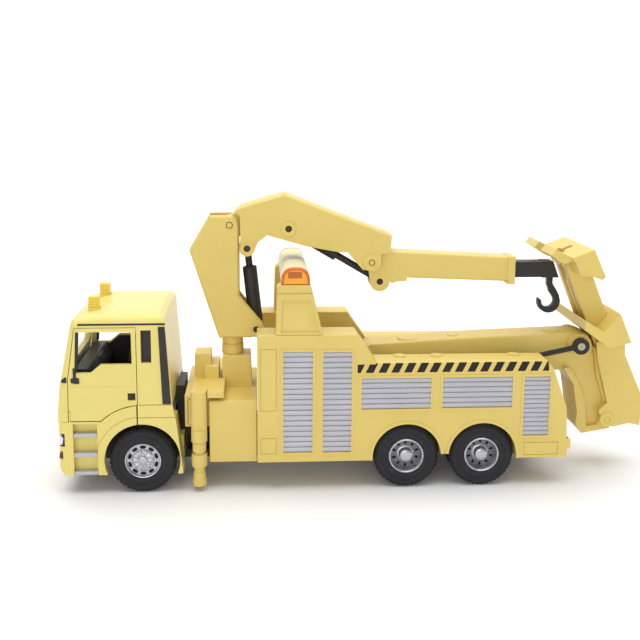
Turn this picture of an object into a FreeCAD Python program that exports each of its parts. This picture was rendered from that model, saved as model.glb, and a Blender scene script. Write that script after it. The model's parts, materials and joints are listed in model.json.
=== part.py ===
import FreeCAD, Part
import math
import os
import re
import Sketcher

# A 1:50 toy recovery truck: tilting-door cab, slewing folding crane, two outriggers and a rear underlift.
# Frame: +X to the truck's rear, -Y to the truck's left, +Z up, origin on the floor below the middle.

DOC = FreeCAD.newDocument("tow_truck")

SIZES = (("front_axle_x", -81.4), ("rear_axle_1_x", 16.2), ("rear_axle_2_x", 44.8),
         ("axle_height", 12.2), ("tyre_radius", 12.2), ("rim_radius", 6.7), ("pin_radius", 1.0),
         ("pin_clearance", 0.1), ("tyre_outer", 23.5), ("front_tyre_width", 7.0),
         ("rear_tyre_width", 6.0), ("dual_gap", 1.0), ("arch_radius", 12.9), ("front_arch_radius", 13.8),
         ("chassis_half", 9.0), ("chassis_bottom", 8.0), ("chassis_top", 20.0), ("cab_half", 24.0),
         ("cab_wall", 1.4), ("cab_floor", 28.0), ("cab_roof", 67.2), ("gutter_z", 63.9),
         ("door_gap", 0.25), ("sill_z", 28.2), ("door_top", 62.6), ("door_rear_x", -82.9),
         ("window_top", 61.2), ("window_sill", 49.2), ("window_dip", 46.0), ("fender_radius", 20.9),
         ("step_depth", 2.7), ("hinge_x", -107.2), ("hinge_y", 23.8), ("hinge_radius", 0.3),
         ("bumper_bottom", 7.4), ("body_half", 24.2), ("trim_half", 24.5), ("inner_half", 12.6),
         ("body_bottom", 11.2), ("body_front_x", -39.4), ("body_rear_x", 77.2), ("tall_top", 59.5),
         ("deck_top", 48.7), ("floor_front_z", 37.6), ("floor_rear_z", 30.0), ("slew_x", -48.8),
         ("turret_radius", 4.0), ("mast_half", 6.0), ("tongue_half", 3.9), ("knuckle_half", 6.5),
         ("knuckle_inner", 4.8), ("arm_half", 4.5), ("slide_half", 3.0), ("lift_ram_radius", 2.7),
         ("fold_ram_radius", 2.35), ("rod_radius", 1.3), ("bore_radius", 2.0), ("crane_pin_radius", 1.3),
         ("bar_x", -25.4), ("bar_radius", 5.2), ("bar_axis_z", 79.2), ("bar_base_z", 77.9),
         ("boom_half", 6.0), ("upright_half", 8.0), ("cheek_half", 10.0), ("column_half", 7.6),
         ("fork_half", 17.5), ("stinger_x", 97.5), ("stinger_z", 20.5), ("stinger_lean", -22.3), )
VALUE = dict(SIZES)

SHEET = DOC.addObject("Spreadsheet::Sheet", "Sizes")
for row, (alias, value) in enumerate(SIZES, 1):
    SHEET.set("A%d" % row, alias)
    SHEET.set("B%d" % row, str(value))
    SHEET.setAlias("B%d" % row, alias)
DOC.recompute()

PLANES = {"X": "YZ_Plane", "Y": "XZ_Plane", "Z": "XY_Plane"}
NODES = []


def bound(size):
    """The sheet expression for a size written with the sheet's aliases."""
    return re.sub(r"[a-z]\w*", lambda word: "Sizes." + word.group(0), size)


def minus(size):
    """The opposite of a number or of a size written with aliases."""
    return "-(%s)" % size if isinstance(size, str) else -size


def set_size(target, path, size):
    """Bind a property to the sheet, or set a plain number."""
    target.setExpression(path, bound(str(size)))


def new_body(label):
    """An empty PartDesign body that becomes one node."""
    made = DOC.addObject("PartDesign::Body", label)
    made.Label = label
    made.AllowCompound = True
    NODES.append(made)
    return made


def constrain(made, kind, geometry, point, size):
    """A dimension from the sketch's origin, bound to the sheet when the size uses its aliases."""
    start = float(size) if not isinstance(size, str) else 1.0
    index = made.addConstraint(Sketcher.Constraint(kind, -1, 1, geometry, point, start))
    if isinstance(size, str):
        made.setExpression("Constraints[%d]" % index, bound(size))


def draw_polygon(made, points):
    """A closed outline whose every corner has its two dimensions."""
    first = made.GeometryCount
    count = len(points)
    ring = [FreeCAD.Vector(9 * math.cos(2 * math.pi * i / count), 9 * math.sin(2 * math.pi * i / count),
                           0)
            for i in range(count)]
    for i in range(count):
        made.addGeometry(Part.LineSegment(ring[i], ring[(i + 1) % count]))
    for i in range(count):
        made.addConstraint(Sketcher.Constraint("Coincident", first + i, 2, first + (i + 1) % count, 1))
        constrain(made, "DistanceX", first + i, 1, points[i][0])
        constrain(made, "DistanceY", first + i, 1, points[i][1])


def draw_circle(made, across, up, radius):
    """A circle with its centre and radius dimensioned."""
    index = made.addGeometry(Part.Circle(FreeCAD.Vector(1, 1, 0), FreeCAD.Vector(0, 0, 1), 2))
    constrain(made, "DistanceX", index, 3, across)
    constrain(made, "DistanceY", index, 3, up)
    start = float(radius) if not isinstance(radius, str) else 1.0
    held = made.addConstraint(Sketcher.Constraint("Radius", index, start))
    if isinstance(radius, str):
        made.setExpression("Constraints[%d]" % held, bound(radius))


def new_sketch(owner, axis, offset, loops):
    """A sketch square to an axis. A loop is a list of corners or a (across, up, radius) circle."""
    made = owner.newObject("Sketcher::SketchObject", owner.Label + "_sketch")
    plane = [item for item in owner.Origin.OriginFeatures if item.Role == PLANES[axis]][0]
    made.AttachmentSupport = [(plane, "")]
    made.MapMode = "FlatFace"
    set_size(made, ".AttachmentOffset.Base.z", offset)
    for loop in loops:
        if isinstance(loop, tuple):
            draw_circle(made, *loop)
        else:
            draw_polygon(made, loop)
    made.recompute()
    return made


def feature(owner, kind, axis, low, high, loops):
    """A pad or pocket between two coordinates of an axis, checked to change the volume."""
    before = owner.Tip.Shape.Volume if owner.Tip else 0.0
    start = high if (kind == "Pad") == (axis == "Y") else low
    start = low if axis == "Y" and kind == "Pocket" else start
    start = high if axis != "Y" and kind == "Pocket" else start
    profile = new_sketch(owner, axis, minus(start) if axis == "Y" else start, loops)
    made = owner.newObject("PartDesign::" + kind, "%s_%s" % (owner.Label, kind.lower()))
    made.Profile = profile
    set_size(made, "Length", "(%s) - (%s)" % (high, low))
    made.recompute()
    owner.Tip = made
    change = made.Shape.Volume - before
    if (change <= 1e-6) if kind == "Pad" else (change >= -1e-6):
        raise ValueError("%s: a %s changed nothing" % (owner.Label, kind))
    return made


def add(owner, axis, low, high, *loops):
    """Material between low and high."""
    return feature(owner, "Pad", axis, low, high, loops)


def cut(owner, axis, low, high, *loops):
    """Space between low and high."""
    return feature(owner, "Pocket", axis, low, high, loops)


def both_sides(action, owner, inner, outer, *loops):
    """The same pad or pocket on the truck's left and right."""
    action(owner, "Y", inner, outer, *loops)
    action(owner, "Y", minus(outer), minus(inner), *loops)


def spin(owner, *loops):
    """A solid turned about the body's Y axis from (radius, y) outlines."""
    profile = new_sketch(owner, "Z", 0, loops)
    made = owner.newObject("PartDesign::Revolution", owner.Label + "_turn")
    made.Profile = profile
    made.ReferenceAxis = (profile, ["V_Axis"])
    made.Angle = 360
    made.recompute()
    owner.Tip = made
    return made


def round_edges(owner, radius, test, kind="Fillet"):
    """Round or bevel the edges of the latest feature that pass a test on their box."""
    shape = owner.Tip.Shape
    names = ["Edge%d" % (i + 1) for i, edge in enumerate(shape.Edges) if test(edge.BoundBox, edge)]
    if not names:
        raise ValueError("%s: no edge to round" % owner.Label)
    base = owner.Tip
    made = owner.newObject("PartDesign::" + kind, owner.Label + "_" + kind.lower())
    made.Base = (base, names)
    if kind == "Fillet":
        made.Radius = radius
    else:
        made.Size = radius
    made.recompute()
    owner.Tip = made
    return made


def rectangle(x1, y1, x2, y2):
    """Corners of an upright rectangle."""
    return [(x1, y1), (x2, y1), (x2, y2), (x1, y2)]


def place(owner, x, y, z, lean=0):
    """Put a body at a point of the truck, leaning about Y."""
    owner.Placement = FreeCAD.Placement(FreeCAD.Vector(), FreeCAD.Rotation(FreeCAD.Vector(0, 1, 0), lean))
    for name, size in (("x", x), ("y", y), ("z", z)):
        set_size(owner, ".Placement.Base." + name, size)


def primitive(kind, label, sizes):
    """A Part primitive that is a node of its own, its sizes bound to the sheet."""
    made = DOC.addObject("Part::" + kind, label)
    made.Label = label
    for name, size in sizes.items():
        set_size(made, name, size)
    NODES.append(made)
    return made


# ---------------------------------------------------------------- wheels

def axle_pin(label, x):
    """A steel pin across the truck that carries one pair of wheels."""
    made = primitive("Cylinder", label, {"Radius": "pin_radius", "Height": "2 * tyre_outer - 5"})
    made.Placement = FreeCAD.Placement(FreeCAD.Vector(), FreeCAD.Rotation(FreeCAD.Vector(1, 0, 0), 90))
    for name, size in (("x", x), ("y", "tyre_outer - 2.5"), ("z", "axle_height")):
        set_size(made, ".Placement.Base." + name, size)


def tyre_section(side, inner, outer):
    """Half section of one tyre: bulged walls, rounded shoulders and three tread grooves."""
    middle = "(%s + %s) / 2" % (inner, outer)
    points = [("rim_radius", inner + " + 0.5"), ("rim_radius + 1.6", inner), ("tyre_radius - 1.3", inner),
              ("tyre_radius", inner + " + 1")]
    for step in (-1.3, 0, 1.3):
        for across, depth in ((-0.2, 0), (-0.2, 0.5), (0.2, 0.5), (0.2, 0)):
            points.append(("tyre_radius - %g" % depth, "%s + %g" % (middle, step + across)))
    points += [("tyre_radius", outer + " - 1"), ("tyre_radius - 1.3", outer), ("rim_radius + 1.6", outer),
               ("rim_radius", outer + " - 0.5")]
    return [(radius, across if side > 0 else minus(across)) for radius, across in points]


def tyre(label, x, side, widths):
    """One rubber tyre, or the two tyres of a dual wheel."""
    made = new_body(label)
    spin(made, *[tyre_section(side, inner, outer) for inner, outer in widths])
    place(made, x, 0, "axle_height")


def rim(label, x, side, inner, section, hole_circle, hole_radius):
    """A silver rim with its ring of hand holes and a blind bore pressed on the pin."""
    made = new_body(label)
    spin(made, [(radius, across if side > 0 else minus(across)) for radius, across in section])
    reach = ("tyre_outer - 2.5" if side > 0 else minus("tyre_outer - 2.5"))
    low, high = (inner, reach) if side > 0 else (reach, minus(inner))
    cut(made, "Y", low, high, (0, 0, "pin_radius"))
    hole = cut(made, "Y", 15 if side > 0 else -23.4, 23.4 if side > 0 else -15,
               (hole_circle, 0, hole_radius))
    ring = made.newObject("PartDesign::PolarPattern", label + "_holes")
    ring.Originals = [hole]
    ring.Axis = (hole.Profile[0], ["N_Axis"])
    ring.Axis = ([item for item in made.Origin.OriginFeatures if item.Role == "Y_Axis"][0], [""])
    ring.Angle = 360
    ring.Occurrences = 10
    made.Tip = ring
    ring.recompute()
    place(made, x, 0, "axle_height")


def wheels():
    """Three axles: single tyres in front, dual tyres at the rear."""
    front = [("(tyre_outer - front_tyre_width)", "tyre_outer")]
    dual = [("(tyre_outer - rear_tyre_width)", "tyre_outer"),
            ("(tyre_outer - 2 * rear_tyre_width - dual_gap)",
             "(tyre_outer - rear_tyre_width - dual_gap)")]
    front_rim = [(0, 17.2), ("rim_radius", 17.2), ("rim_radius", 23.3), (6.2, 23.3), (5.9, 22.0),
                 (4.3, 21.6),
                 (3.7, 22.4), (2.5, 22.9), (1.9, 22.9), (1.7, 23.3), (0, 23.3)]
    rear_rim = [(0, 11.0), ("rim_radius", 11.0), ("rim_radius", 23.3), (6.25, 23.3), (5.7, 20.2),
                (3.6, 19.6),
                (2.4, 19.9), (2.2, 22.0), (1.5, 22.6), (0, 22.6)]
    for axle, x in (("front", "front_axle_x"), ("rear_1", "rear_axle_1_x"), ("rear_2", "rear_axle_2_x")):
        axle_pin(axle + "_axle_pin", x)
        steering = axle == "front"
        for name, side in (("left", -1), ("right", 1)):
            tyre("%s_%s_tyre" % (axle, name), x, side, front if steering else dual)
            rim("%s_%s_rim" % (axle, name), x, side, 17.2 if steering else 11,
                front_rim if steering else rear_rim, 5.1 if steering else 4.6, 0.55)


# ---------------------------------------------------------------- chassis and cab

def chassis():
    """The black ladder base, bored for the axle pins, with a fuel tank and a battery box."""
    made = new_body("chassis_frame")
    add(made, "Z", "chassis_bottom", "chassis_top",
        rectangle(-109.0, "-chassis_half", 72, "chassis_half"))
    both_sides(cut, made, 5.5, "chassis_half", rectangle(-66, 11, -2, 17), rectangle(60, 11, 70, 17))
    add(made, "Z", "chassis_top", 36.5, rectangle(-69.8, "-chassis_half", -67.0, "chassis_half"))
    cut(made, "Y", minus("chassis_half"), "chassis_half",
        *[(x, "axle_height", "pin_radius + pin_clearance")
          for x in ("front_axle_x", "rear_axle_1_x", "rear_axle_2_x")])


CAB_SIDE = [(-70.2, "cab_floor + 6"), (-72.3, 64), (-72.8, 65.8), (-74.6, "cab_roof"),
            (-97.5, "cab_roof + 0.2"), (-103.9, "cab_roof - 1.0"), (-106.0, "gutter_z + 0.6"),
            (-109.2, 48.5), (-111.0, 40), (-112.0, "cab_floor"), ("door_rear_x", "cab_floor"),
            ("door_rear_x", "cab_floor + 6")]
DOOR = [(-104.4, "door_top"), ("door_rear_x", "door_top"), ("door_rear_x", "sill_z"), (-107.5, "sill_z"),
        (-107.2, 44)]


def grown(points, gap):
    """The door outline moved outwards by the shut-line gap."""
    signs = ((-1, 1), (1, 1), (1, -1), (-1, -1), (-1, 0))
    return [("%s + (%g) * %s" % (x, sx, gap), "%s + (%g) * %s" % (z, sz, gap))
            for (x, z), (sx, sz) in zip(points, signs)]


def cab_shell():
    """The die-cast cab: a hollow shell open below, with openings for doors, windscreen and side lights."""
    made = new_body("cab_shell")
    add(made, "Y", minus("cab_half"), "cab_half", CAB_SIDE)
    round_edges(made, 4.3, lambda box,
                edge: box.YLength < 0.01 and box.ZMax > VALUE["cab_roof"] - 0.1 and box.XLength > 5)
    round_edges(made, 2.6, lambda box, edge: box.YLength < 0.01 and box.XMax < -103 and box.ZLength > 3
                and abs(abs(box.YMin) - VALUE["cab_half"]) < 0.01)
    inside = [(-72.0, "cab_floor - 1"), (-74.0, 64), (-75.5, "cab_roof - cab_wall"),
              (-97.5, "cab_roof - cab_wall"),
              (-102.6, "cab_roof - 2.6"), (-104.0, "gutter_z + 0.1"), (-107.0, 48.5), (-108.6, 40),
              (-109.4, "cab_floor - 1")]
    cut(made, "Y", "-(cab_half - 2.2)", "cab_half - 2.2", inside)
    both_sides(cut, made, 20, "cab_half + 1", grown(DOOR, "door_gap"))
    cut(made, "X", -113, -100, rectangle(-20.3, 47.5, 20.3, 62.3))
    both_sides(cut, made, 20, "cab_half + 1", rectangle(-81.1, 49.6, -77.4, 61.7))
    both_sides(cut, made, "cab_half - 0.35", "cab_half + 1", rectangle(-103.4, "gutter_z - 0.35", -72.2,
               "gutter_z + 0.35"))
    cut(made, "X", -113, -110.4, rectangle(-15.5, 29.5, 15.5, 42))
    for across in (-12.7, 12.7):
        add(made, "Z", "cab_roof - 0.6", "cab_roof + 0.8", rectangle(-101, across - 2.1, -96.8,
                                                                     across + 2.1))


def cab_door(label, side):
    """A door that carries the window frame, a belt crease and the handle pad."""
    made = new_body(label)
    inner, outer = ("cab_half - 1.5", "cab_half") if side > 0 else (minus("cab_half"),
                                                                    minus("cab_half - 1.5"))
    add(made, "Y", inner, outer, DOOR)
    cut(made, "Y", inner, outer, [(-104.1, "window_top"), (-84.5, "window_top"), (-84.4, "window_sill"),
                                  (-95.5, "window_sill"), (-99.2, "window_dip + 0.1"),
                                  (-104.9, "window_dip")])
    skin, face = ("cab_half - 0.3", "cab_half") if side > 0 else (minus("cab_half"),
                                                                  minus("cab_half - 0.3"))
    cut(made, "Y", skin, face, rectangle(-86.2, 35.7, -83.4, 38.4))
    skin, face = ("cab_half - 0.08", "cab_half") if side > 0 else (minus("cab_half"),
                                                                   minus("cab_half - 0.08"))
    cut(made, "Y", skin, face, rectangle(-106.9, 40.9, -83.2, 41.3))
    cut(made, "Y", inner, outer, ("front_axle_x", "axle_height + 0.6", "fender_radius + door_gap"))
    across = "hinge_y" if side > 0 else minus("hinge_y")
    cut(made, "Z", "sill_z", "sill_z + 4", ("hinge_x", across, "hinge_radius + 0.12"))


def cab_fittings():
    """Glazing, interior, grille, beacons and air intakes."""
    glass = new_body("cab_glazing")
    add(glass, "Y", -21.2, 21.2, [(-104.2, 62.6), (-107.0, 48.5), (-107.2, 47.2), (-106.5, 47.2),
                                  (-103.5, 62.6)])
    both_sides(add, glass, "cab_half - 3", "cab_half - 2.2", rectangle(-82.0, 48.8, -76.6, 62.5))

    inside = new_body("cab_interior")
    add(inside, "Z", 29, 31, rectangle(-105.5, -21.8, -74.5, 21.8))
    add(inside, "Z", "chassis_top", 29, rectangle(-100, "-(chassis_half - 1)", -72, "chassis_half - 1"))
    add(inside, "Y", -20, 20, [(-106, 31), (-98.5, 31), (-98, 42), (-101, 46.5), (-105.5, 46.5)])
    for across in (-10.5, 10.5):
        add(inside, "Y", across - 6, across + 6,
            [(-95.5, 31), (-84.5, 31), (-82.6, 51.5), (-86.2, 52.3), (-88.2, 38.5), (-95.5, 37.5)])
    add(inside, "Y", -17.5, 17.5, [(-81, 31), (-74.5, 31), (-75.5, 48), (-80, 48)])
    spun = inside.Tip.Shape.Volume
    add(inside, "Y", -11.2, -9.8, [(-101, 44), (-96.6, 46.6), (-96.0, 45.6), (-100, 43)])
    both = [(-98.2, 49.5), (-94.6, 42.0), (-93.9, 42.3), (-97.5, 49.8)]
    add(inside, "Y", -14.5, -6.5, both)
    if inside.Tip.Shape.Volume <= spun:
        raise ValueError("steering wheel adds nothing")

    grille = new_body("front_grille")
    add(grille, "X", -110.6, -110.4, rectangle(-15.4, 29.6, 15.4, 41.9))
    for level, front in ((30.4, -111.6), (33.3, -111.35), (36.2, -111.1), (39.1, -110.9)):
        add(grille, "X", front, -110.6, rectangle(-15.4, level, 15.4, level + 1.6))

    lenses = new_body("roof_beacon_lenses")
    for across in (-12.7, 12.7):
        add(lenses, "Z", "cab_roof + 0.8", "cab_roof + 5.1", rectangle(-100.8, across - 1.9, -97,
            across + 1.9))
    round_edges(lenses, 0.5, lambda box, edge: box.ZMin > VALUE["cab_roof"] + 5.0)

    intakes = new_body("air_intake_ducts")
    both_sides(add, intakes, "cab_half", "cab_half + 0.45", [(-74.8, 63.0), (-72.4, 63.0), (-70.6, 34.2),
                                                             (-73.7, 34.2)])


def fender(owner):
    """The raised quarter ring over each front wheel, ahead of the door's rear edge, with one crease."""
    centre = ("front_axle_x", "axle_height + 0.6")
    both_sides(add, owner, "cab_half - 1.7", "cab_half + 0.2",
               [(-97.4, 13), (-97.4, 26.2), (-94.8, 28.8), (-91.9, 30.9), (-88.6, 32.4), (-85.0, 33.35),
                (-83.2, 33.6), (-83.2, 13)])
    cut(owner, "Y", "-(cab_half + 1)", "cab_half + 1", (*centre, "front_arch_radius"))
    both_sides(cut, owner, "cab_half - 0.1", "cab_half + 0.2", (*centre, 16.9), (*centre, 16.5))


def bumper_and_arch():
    """The bumper with its step wells, and the mudguards behind it."""
    made = new_body("front_bumper")
    top = "cab_floor - 0.2"
    add(made, "Y", minus("cab_half"), "cab_half",
        [(-111.9, top), (-83.2, top), (-83.2, 13), (-94, "bumper_bottom"), (-109.2, "bumper_bottom"),
         (-111.8, 10)])
    round_edges(made, 3.2, lambda box, edge: box.YLength < 0.01 and box.XMax < -111 and box.ZLength > 5)
    cut(made, "Y", minus("cab_half"), "cab_half", ("front_axle_x", "axle_height + 0.6",
                                                   "front_arch_radius"))
    cut(made, "Z", "bumper_bottom - 1", top, rectangle(-109, -20.5, -80, 20.5))
    both_sides(cut, made, "cab_half - step_depth", "cab_half",
               rectangle(-106.2, "bumper_bottom", -97.5, "cab_floor - 1"))
    fender(made)
    for across in ("hinge_y", minus("hinge_y")):
        add(made, "Z", "cab_floor - 0.4", "cab_floor + 3.6", ("hinge_x", across, "hinge_radius"))
    cut(made, "X", -113, -110.6, rectangle(-9, 15, 9, 24))
    both_sides(cut, made, "cab_half - 4.2", "cab_half", rectangle(-113, 18.5, -109.2, 23.4))
    both_sides(cut, made, "cab_half - 4.2", "cab_half", rectangle(-113, 13.7, -110, 16.6))

    treads = new_body("step_treads")
    for level, thick in ((21.9, 1.4), (14.4, 1.5), (7.5, 1.3)):
        both_sides(add, treads, "cab_half - step_depth", "cab_half - 0.1",
                   rectangle(-106.1, level, -97.6, level + thick))

    lamps = new_body("front_lamp_lenses")
    both_sides(add, lamps, "cab_half - 4.1", "cab_half - 0.9", rectangle(-111.2, 18.6, -109.2, 23.3))
    both_sides(add, lamps, "cab_half - 4.1", "cab_half - 1.2", rectangle(-111.3, 13.8, -110.0, 16.5))

    guards = new_body("front_mudguards")
    both_sides(add, guards, 15, 22,
               [(-82.7, "cab_floor + 0.8"), (-69.2, "cab_floor + 0.8"), (-68.9, 27), (-66.6, 7.6),
                (-70, 7.6), (-82.7, 20)])
    both_sides(add, guards, 22, "cab_half + 0.2",
               [(-82.7, "cab_floor + 5.8"), (-70.3, "cab_floor + 5.8"), (-68.9, 27), (-66.6, 7.6),
                (-70, 7.6), (-82.7, 20)])
    cut(guards, "Y", "-(cab_half + 1)", "cab_half + 1", ("front_axle_x", "axle_height + 0.6",
                                                         "front_arch_radius"))
    both_sides(cut, guards, "cab_half - 0.3", "cab_half + 0.2", rectangle(-82.7, 29.0, -69, 29.3))
    both_sides(add, guards, "chassis_half", 15.2, rectangle(-68.4, 9, -67.0, 19))


# ---------------------------------------------------------------- outriggers, deck and crane base

def outriggers():
    """A cross housing with two beams that slide out, each with a jack leg that slides down."""
    made = new_body("outrigger_housing")
    add(made, "Y", -19.5, 19.5, rectangle(-66.1, 23.8, -57.0, 36.0))
    add(made, "Z", "chassis_top", 24, rectangle(-65, "-(chassis_half - 1)", -58, "chassis_half - 1"))
    cut(made, "Y", -19.5, 19.5, rectangle(-65.0, 24.6, -58.6, 34.6))
    add(made, "Z", 35.8, 38.2, [(-63.6, -19.5), (-57.6, -19.5), (-57.6, -23.2), (-51.6, -23.2),
                                (-51.6, 23.2),
                                (-57.6, 23.2), (-57.6, 19.5), (-63.6, 19.5)])
    cut(made, "Z", 35.8, 38.2, rectangle(-53.2, -5.6, -51.5, 5.6))
    add(made, "Z", 38.2, 43.3, rectangle(-59.4, -7.4, -54.0, 7.4))
    add(made, "Z", 38.2, 47.6, rectangle(-63.2, -5, -57.0, 5))
    for name, side in (("left", -1), ("right", 1)):
        beam = new_body(name + "_outrigger_beam")
        low, high = (1, 19.7) if side > 0 else (-19.7, -1)
        add(beam, "Y", low, high, rectangle(-64.8, 24.8, -58.8, 34.4))
        low, high = (19.7, 24.1) if side > 0 else (-24.1, -19.7)
        add(beam, "Y", low, high, rectangle(-63.7, 23.6, -57.9, 38.2))
        round_edges(beam, 1.9, lambda box, edge: box.ZLength > 10 and abs(box.YMin) > 24)
        ring = ((-60.8, 21.9 * side, 2.95),)
        add(beam, "Z", 19.2, 23.6, *ring)
        cut(beam, "Z", 18, 37, (-60.8, 21.9 * side, 2.15))
        leg = new_body(name + "_outrigger_leg")
        add(leg, "Z", 7.2, 31, (-60.8, 21.9 * side, 2.0))
        add(leg, "Z", 15.4, 18.9, (-60.8, 21.9 * side, 2.5))
        add(leg, "Z", 9.6, 14.4, (-60.8, 21.9 * side, 2.85))
        add(leg, "Z", 2.1, 4.8, (-60.8, 21.9 * side, 2.6))
        add(leg, "Z", 4.8, 7.2, (-60.8, 21.9 * side, 2.3))
        round_edges(leg, 0.4, lambda box, edge: abs(box.ZMin - 2.1) < 0.01 and box.XLength > 3)


def crane_base():
    """The saddle box over the chassis, the tapered pedestal and the slewing turret."""
    deck = new_body("mid_deck_box")
    add(deck, "Z", 10.8, 34.4, rectangle(-57.0, -22, -39.6, 22))
    cut(deck, "X", -57, -39.6, rectangle("-chassis_half", 10, "chassis_half", "chassis_top"))
    round_edges(deck, 0.6, lambda box, edge: box.ZMin > 34.3 and box.XLength > 10)

    pedestal = new_body("crane_pedestal")
    add(pedestal, "Y", -5.5, 5.5, [(-53.0, 34.4), (-41.3, 34.4), (-42.0, 47.0), (-52.6, 47.0)])
    cut(pedestal, "Z", 40, 47, ("slew_x", 0, 2.2))
    round_edges(pedestal, 0.5, lambda box, edge: box.ZMin > 46.9 and (box.XLength > 8 or box.YLength > 8))

    turret = new_body("slew_turret")
    add(turret, "Z", 47.05, 51.0, ("slew_x", 0, "turret_radius + 0.15"))
    add(turret, "Z", 51.0, 54.0, ("slew_x", 0, "turret_radius"))
    add(turret, "Z", 41, 47.05, ("slew_x", 0, 2.1))
    cut(turret, "Z", 50.8, 51.2, ("slew_x", 0, 5), ("slew_x", 0, "turret_radius - 0.25"))


# ---------------------------------------------------------------- crane

MAST_PIVOT = (-49.5, 97.3)
LIFT_LOW = (-39.6, 57.2)
LIFT_HIGH = (-43.0, 88.4)
FOLD_HIGH = (-27.4, 95.9)
FOLD_LOW = (7.6, 75.2)
ARM_PIVOT = (4.2, 83.0)
HOOK_PIVOT = (75.1, 78.6)


def mast():
    """The leaning post on the turret: a fork at the top for the boom, lugs below for the lift ram."""
    made = new_body("crane_mast")
    add(made, "Y", minus("mast_half"), "mast_half",
        [(-53.8, 54), (-41.2, 54), (-38.6, 56.3), (-37.3, 59.6), (-46.0, 70.2), (-46.0, 96.6),
         (-46.6, 99.6),
         (-48.4, 100.9), (-57.0, 100.8), (-64.6, 87.8)])
    round_edges(made, 0.7, lambda box, edge: box.YLength < 0.01 and abs(box.YMin) > 5.9, "Chamfer")
    add(made, "Y", minus("mast_half"), "mast_half", (*LIFT_LOW, 3.0))
    cut(made, "Y", "-(tongue_half + 0.2)", "tongue_half + 0.2",
        [(-57.6, 103), (-57.6, 92.4), (-54.0, 90.2), (-44, 90.2), (-44, 103)])
    cut(made, "Y", -3.2, 3.2, [(-43.2, 51), (-43.2, 62), (-46.4, 67), (-46.4, 91), (-36, 91), (-34, 51)])
    cut(made, "Y", minus("mast_half"), "mast_half", (*LIFT_LOW, "crane_pin_radius"),
        (*MAST_PIVOT, "crane_pin_radius"))
    pins = new_body("mast_pins")
    add(pins, "Y", "-(mast_half + 0.1)", "mast_half + 0.1", (*MAST_PIVOT, "crane_pin_radius"))
    add(pins, "Y", "-(mast_half - 0.9)", "mast_half - 0.9", (*LIFT_LOW, "crane_pin_radius"))


def knuckle_boom():
    """The folding upper boom: a channel open below, its tongue in the mast's fork."""
    made = new_body("knuckle_boom")
    outline = [(-47.4, 102.4), (-44.8, 104.3), (-29.0, 109.0), (11.7, 93.4), (11.2, 86.5), (7.8, 86.1),
               (7.6, 82), (4.2, 79.5), (0.6, 80.3), (-5.2, 87.0), (-8.6, 87.0), (-21.0, 89.3),
               (-35.4, 93.5), (-39.0, 90.6), (-40.6, 86.8), (-43.2, 85.3), (-45.5, 86.6), (-45.5, 100.6)]
    add(made, "Y", minus("knuckle_half"), "knuckle_half", outline)
    round_edges(made, 0.7, lambda box, edge: box.YLength < 0.01 and abs(box.YMin) > 6.4 and box.ZMin > 90
                and box.XLength > 5, "Chamfer")
    both_sides(add, made, "knuckle_half - 0.2", "knuckle_half + 0.5", (*FOLD_HIGH, 2.7))
    both_sides(add, made, "knuckle_half - 0.2", "knuckle_half + 0.35", (*ARM_PIVOT, 3.4))
    inside = [(-45.5, 84), (-45.5, 92), (-41.5, 95.5), (-39.0, 100.8), (-29.0, 106.6), (7.6, 92.5),
              (12, 92.6), (12, 76), (-10, 76)]
    cut(made, "Y", minus("knuckle_inner"), "knuckle_inner", inside)
    add(made, "Y", minus("tongue_half"), "tongue_half",
        [(-49.5, 94.3), (-45.0, 92.6), (-41.5, 95.5), (-39.0, 100.8), (-40, 105), (-44.8, 103.6),
         (-49.5, 100.3)])
    add(made, "Y", minus("tongue_half"), "tongue_half", (*MAST_PIVOT, 3.0))
    both_sides(add, made, 2.4, "knuckle_inner + 0.2", (*LIFT_HIGH, 2.9))
    both_sides(add, made, 2.8, "knuckle_inner + 0.2", (*FOLD_HIGH, 2.5))
    reach = "knuckle_half + 1"
    cut(made, "Y", minus(reach), reach, (*LIFT_HIGH, "crane_pin_radius"),
        (*FOLD_HIGH, "crane_pin_radius"),
        (*ARM_PIVOT, "crane_pin_radius"), (*MAST_PIVOT, "crane_pin_radius + pin_clearance"))
    pins = new_body("boom_pins")
    add(pins, "Y", "-(knuckle_half - 0.9)", "knuckle_half - 0.9", (*LIFT_HIGH, "crane_pin_radius"),
        (*FOLD_HIGH, "crane_pin_radius"))
    both_sides(add, pins, 2.4, "knuckle_half + 0.45", (*ARM_PIVOT, "crane_pin_radius"))


def ram(barrel_label, rod_label, low, high, barrel_length, overlap, radius):
    """A ram between two pins: an eyed barrel on the low pin and an eyed rod on the high one."""
    run = math.hypot(high[0] - low[0], high[1] - low[1])
    lean = math.degrees(math.atan2(high[0] - low[0], high[1] - low[1]))
    barrel = new_body(barrel_label)
    add(barrel, "Z", 2.0, barrel_length, (0, 0, radius))
    add(barrel, "Y", -2.1, 2.1, (0, 0, 2.3))
    cut(barrel, "Z", 4.5, barrel_length, (0, 0, "bore_radius"))
    cut(barrel, "Y", -3, 3, (0, 0, "crane_pin_radius + pin_clearance"))
    place(barrel, low[0], 0, low[1], lean)
    rod = new_body(rod_label)
    add(rod, "Z", barrel_length - overlap - run, -1.5, (0, 0, "rod_radius"))
    add(rod, "Y", -2.1, 2.1, (0, 0, 2.3))
    cut(rod, "Y", -3, 3, (0, 0, "crane_pin_radius + pin_clearance"))
    place(rod, high[0], 0, high[1], lean)


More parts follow.
